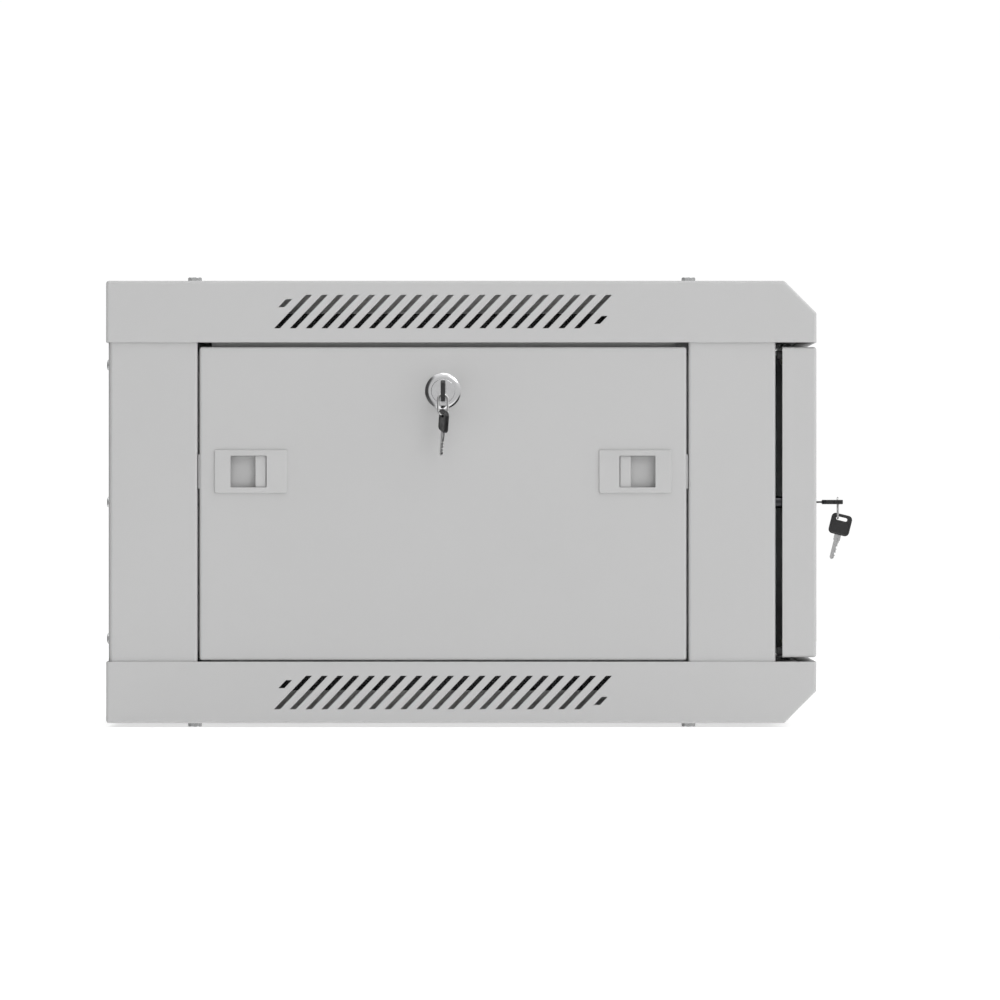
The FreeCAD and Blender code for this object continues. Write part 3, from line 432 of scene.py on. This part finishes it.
def smooth_by_angle(piece, degrees):
    """Smooth shading broken at edges sharper than the angle, with merged vertices."""
    weld = piece.modifiers.new("weld", "WELD")
    weld.merge_threshold = 1e-6
    piece.data.shade_smooth()
    piece.data.set_sharp_from_angle(angle=math.radians(degrees))
    normals = piece.modifiers.new("normals", "WEIGHTED_NORMAL")
    normals.keep_sharp = True


# ---------------------------------------------------------------- keys


def bow_mesh_parts():
    """The bow: a core plate with a raised rim, both pierced by the ring slot."""
    half = BOW_SIZE / 2
    top = BOW_START + BOW_SIZE
    outline = rounded_rectangle(-half, half, BOW_START, top, BOW_CORNER)
    slot_z = top - SLOT_FROM_TOP
    slot_x = SLOT_LENGTH / 2
    slot_half = SLOT_WIDTH / 2
    slot = rounded_rectangle(
        -slot_x, slot_x, slot_z - slot_half, slot_z + slot_half, slot_half * 0.999
    )
    field = rounded_rectangle(
        -half + BOW_RIM,
        half - BOW_RIM,
        BOW_START + BOW_RIM,
        slot_z - slot_half - BOW_RIM * 0.6,
        BOW_CORNER - BOW_RIM * 0.7,
    )
    core = plate([outline, slot], BOW_THICK * 0.8, 0.5 * MM)
    rim = plate([outline, slot, field], BOW_THICK, 0.55 * MM)
    return [core, rim]


def blade_mesh_parts():
    """The blade: a thin web between two thicker lands, one of them with the bitting."""
    web = [
        (-BLADE_HALF, BLADE_TIP + 1.4 * MM),
        (-BLADE_HALF + 1.4 * MM, BLADE_TIP),
        (BLADE_HALF - 2.2 * MM, BLADE_TIP),
    ]
    cut_top = BLADE_TIP + CUT_START
    land = [(0.5 * MM, BLADE_TIP + 0.4 * MM)]
    bitting = []
    for deep in BITTING:
        bitting.append((BLADE_HALF - deep, cut_top))
        bitting.append((BLADE_HALF - deep, cut_top + CUT_FLAT))
        bitting.append((BLADE_HALF, cut_top + CUT_SLOPE_END))
        cut_top += CUT_PITCH
    blade_top = BOW_START + TANG
    shoulder = [
        (BLADE_HALF, SHOULDER_START),
        (SHOULDER_HALF, SHOULDER_START),
        (SHOULDER_HALF, blade_top),
    ]
    left = [
        (-SHOULDER_HALF, blade_top),
        (-SHOULDER_HALF, SHOULDER_START),
        (-BLADE_HALF, SHOULDER_START),
    ]
    body = plate([web + bitting + shoulder + left], BLADE_THICK * 0.62, 0.08 * MM)
    inner_end = [(0.5 * MM, blade_top)]
    right_land = plate([land + bitting + shoulder + inner_end], BLADE_THICK, 0.12 * MM)
    left_land = plate(
        [
            [
                (-0.7 * MM, BLADE_TIP + 0.2 * MM),
                (-0.7 * MM, blade_top),
                *left,
                (-BLADE_HALF, BLADE_TIP + 1.5 * MM),
                (-BLADE_HALF + 1.3 * MM, BLADE_TIP + 0.2 * MM),
            ]
        ],
        BLADE_THICK,
        0.12 * MM,
    )
    return [body, right_land, left_land]


def make_key(name, body, placement, replaced):
    """A bow and a blade that stand for one CAD key and ride on its body."""
    bow = joined(f"{name}_bow", bow_mesh_parts(), FINISHES["key_plastic"])
    blade = joined(f"{name}_blade", blade_mesh_parts(), KEY_STEEL)
    for piece in (bow, blade):
        piece.data.transform(placement)
        smooth_by_angle(piece, 40.0)
        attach(piece, body)
        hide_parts(replaced)


def axes(x, y, z, origin):
    """A placement from three unit axes and an origin."""
    turn = Matrix((x, y, z)).transposed().to_4x4()
    return Matrix.Translation(origin) @ turn


def spare_placement(joint_name, outward):
    """Where a spare key hangs: turned about its slot's end, with its bow leaning outward."""
    joint = JOINTS[joint_name]
    through = Vector(joint["axis"]).normalized()
    up = Vector((0.0, 0.0, 1.0))
    across = through.cross(up)
    if across.dot(outward) < 0:
        through = -through
        across = -across
    hook = axes(across, through, up, Vector(joint["pos_m"]))
    reach = BOW_START + BOW_SIZE - SLOT_FROM_TOP
    hang = Matrix.Translation(((SLOT_LENGTH - SLOT_WIDTH) / 2, 0.0, -reach))
    return hook @ Matrix.Rotation(SPARE_TILT, 4, "Y") @ hang


def make_keys():
    """The key in each lock and the spare that hangs from its ring."""
    low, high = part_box("door_lock_body")
    seat = Vector(((low.x + high.x) / 2, low.y + LOCK_FLANGE, (low.z + high.z) / 2))
    front = Vector((0.0, -1.0, 0.0))
    up = Vector((0.0, 0.0, 1.0))
    in_door = axes(Vector((1.0, 0.0, 0.0)), up, front, seat)
    make_key("door_key", "door_lock", in_door, "door_key")
    hanging = spare_placement("door_spare_swing", front)
    make_key("door_spare_key", "door_spare", hanging, "door_spare_key")
    for side, sign in (("left", -1.0), ("right", 1.0)):
        low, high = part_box(f"{side}_lock_body")
        outer = low.x if sign < 0 else high.x
        seat = Vector((outer - sign * LOCK_FLANGE, (low.y + high.y) / 2, (low.z + high.z) / 2))
        outward = Vector((sign, 0.0, 0.0))
        in_panel = axes(up, Vector((0.0, -sign, 0.0)), outward, seat)
        make_key(f"{side}_key", f"{side}_lock", in_panel, f"{side}_key")
        hanging = spare_placement(f"{side}_spare_swing", outward)
        make_key(f"{side}_spare_key", f"{side}_spare", hanging, f"{side}_spare_key")


# ---------------------------------------------------------------- studio


def make_floor():
    """A pale sheet that glows a little, like a light table."""
    cell = 2 * FLOOR_HALF / FLOOR_STEPS
    level = cad_low.z - FLOOR_DROP
    row = FLOOR_STEPS + 1
    vertices = []
    faces = []
    for i in range(row):
        for j in range(row):
            vertices.append((-FLOOR_HALF + i * cell, -FLOOR_HALF + j * cell, level))
    for i in range(FLOOR_STEPS):
        for j in range(FLOOR_STEPS):
            corner = i * row + j
            faces.append((corner, corner + row, corner + row + 1, corner + 1))
    mesh = bpy.data.meshes.new("floor")
    mesh.from_pydata(vertices, [], faces)
    floor = bpy.data.objects.new("floor", mesh)
    bpy.context.scene.collection.objects.link(floor)
    finish = Finish("floor_sheet", (0.86, 0.86, 0.86), 0.8)
    finish.vary_roughness(finish.noise(3.0, 2.0), 0.75, 0.85)
    finish.shader.inputs["Emission Color"].default_value = (1.0, 1.0, 1.0, 1.0)
    finish.shader.inputs["Emission Strength"].default_value = FLOOR_GLOW
    mesh.materials.append(finish.material)
    floor.visible_glossy = False


def soft_light(name, place, target, size, power):
    """A rectangular light aimed at the target."""
    lamp = bpy.data.lights.new(name, "AREA")
    lamp.shape = "RECTANGLE"
    lamp.size = size[0]
    lamp.size_y = size[1]
    lamp.energy = power
    holder = bpy.data.objects.new(name, lamp)
    bpy.context.scene.collection.objects.link(holder)
    holder.location = place
    holder.rotation_euler = (target - Vector(place)).to_track_quat("-Z", "Y").to_euler()
    holder.visible_camera = False


def make_sky():
    """A white surround: plain to the camera, while its light has a few soft dark flags."""
    world = bpy.data.worlds.new("studio")
    world.use_nodes = True
    bpy.context.scene.world = world
    tree = world.node_tree
    light = tree.nodes["Background"]
    seen = tree.nodes.new("ShaderNodeBackground")
    seen.inputs["Color"].default_value = (1.0, 1.0, 1.0, 1.0)
    seen.inputs["Strength"].default_value = BACKGROUND
    place = tree.nodes.new("ShaderNodeTexCoord")
    path = tree.nodes.new("ShaderNodeLightPath")
    mix = tree.nodes.new("ShaderNodeMixShader")
    light.inputs["Color"].default_value = (1.0, 1.0, 1.0, 1.0)
    factors = []
    for axis, low, high, dark, bright in SKY_BANDS:
        dot = tree.nodes.new("ShaderNodeVectorMath")
        dot.operation = "DOT_PRODUCT"
        dot.inputs[1].default_value = Vector(axis).normalized()
        span = tree.nodes.new("ShaderNodeMapRange")
        span.interpolation_type = "SMOOTHSTEP"
        span.inputs["From Min"].default_value = low
        span.inputs["From Max"].default_value = high
        span.inputs["To Min"].default_value = dark
        span.inputs["To Max"].default_value = bright
        tree.links.new(place.outputs["Generated"], dot.inputs[0])
        tree.links.new(dot.outputs["Value"], span.inputs["Value"])
        factors.append(span.outputs["Result"])
    brightness = factors[0]
    for factor in factors[1:]:
        tint = tree.nodes.new("ShaderNodeMath")
        tint.operation = "MULTIPLY"
        tree.links.new(brightness, tint.inputs[0])
        tree.links.new(factor, tint.inputs[1])
        brightness = tint.outputs["Value"]
    tree.links.new(brightness, light.inputs["Strength"])
    tree.links.new(path.outputs["Is Camera Ray"], mix.inputs["Fac"])
    tree.links.new(light.outputs["Background"], mix.inputs[1])
    tree.links.new(seen.outputs["Background"], mix.inputs[2])
    tree.links.new(mix.outputs["Shader"], tree.nodes["World Output"].inputs["Surface"])


def make_camera(centre):
    """Level with the cabinet and square to its left side."""
    data = bpy.data.cameras.new("camera")
    data.sensor_width = SENSOR
    data.lens = SENSOR * CAMERA_DISTANCE / FIELD_WIDTH
    camera = bpy.data.objects.new("camera", data)
    bpy.context.scene.collection.objects.link(camera)
    side_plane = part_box("top_cover")[0].x
    aim = centre + AIM_SHIFT
    camera.location = (side_plane - CAMERA_DISTANCE, aim.y, aim.z)
    camera.rotation_euler = (math.pi / 2, 0.0, -math.pi / 2)
    data.clip_end = CLIP_END
    bpy.context.scene.camera = camera


# ---------------------------------------------------------------- scene

dress_nodes()
make_keys()
centre = (cad_low + cad_high) / 2
make_floor()
make_sky()
for name, place, size, power in LIGHTS:
    soft_light(name, place, centre, size, power)
make_camera(centre)
bpy.context.scene.view_settings.view_transform = "Standard"
